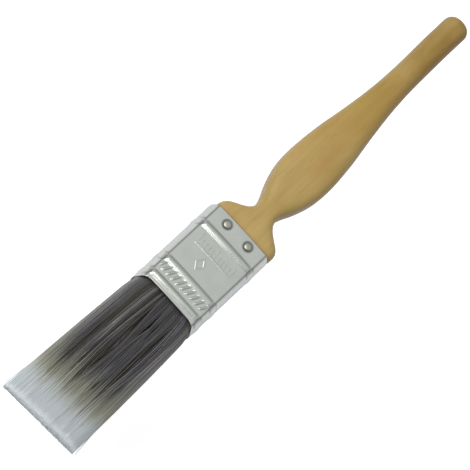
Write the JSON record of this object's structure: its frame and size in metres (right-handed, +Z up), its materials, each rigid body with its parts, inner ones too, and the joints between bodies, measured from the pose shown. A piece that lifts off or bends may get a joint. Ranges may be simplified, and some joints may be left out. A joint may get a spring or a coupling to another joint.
{
  "type": "flat paint brush",
  "caption": "Flat one-inch paint brush: shaped wooden handle, flattened steel ferrule with raised beads and domed nails, and a flexing bundle of long tapered synthetic filaments.",
  "frame": {"origin": "on the surface the brush lies on, under the middle of its overall length and width", "axes": "+X along the brush towards the handle's tail, +Y across it to the left of the front face, +Z up out of the front face"},
  "size_m": [0.2062, 0.0304, 0.0135],
  "materials": {
    "lacquered_beech": "pale beech under clear satin lacquer",
    "ferrule_steel": "bright tinned sheet, satin",
    "nail_steel": "bright domed head",
    "plug_wood": "bare sawn softwood",
    "setting_resin": "set amber resin",
    "filament": "tapered synthetic filament, dark grey with tan then white tips"
  },
  "bodies": {
    "root": {"handle": "lacquered_beech", "ferrule": "ferrule_steel", "nail_front_left": "nail_steel", "nail_front_right": "nail_steel", "nail_back_left": "nail_steel", "nail_back_right": "nail_steel", "spacer_plug": "plug_wood", "resin_setting": "setting_resin", "filament_root_front": "filament", "filament_root_back": "filament"},
    "bristles": {"filament_front": "filament", "filament_back": "filament"}
  },
  "joints": [
    {"name": "bristle_flex", "type": "hinge", "parent": "root", "child": "bristles", "pos_m": [-0.0461, 0, 0.00675], "axis": [0, 1, 0], "range_deg": [-35, 35], "stiffness_Nm_per_rad": 0.25}
  ]
}
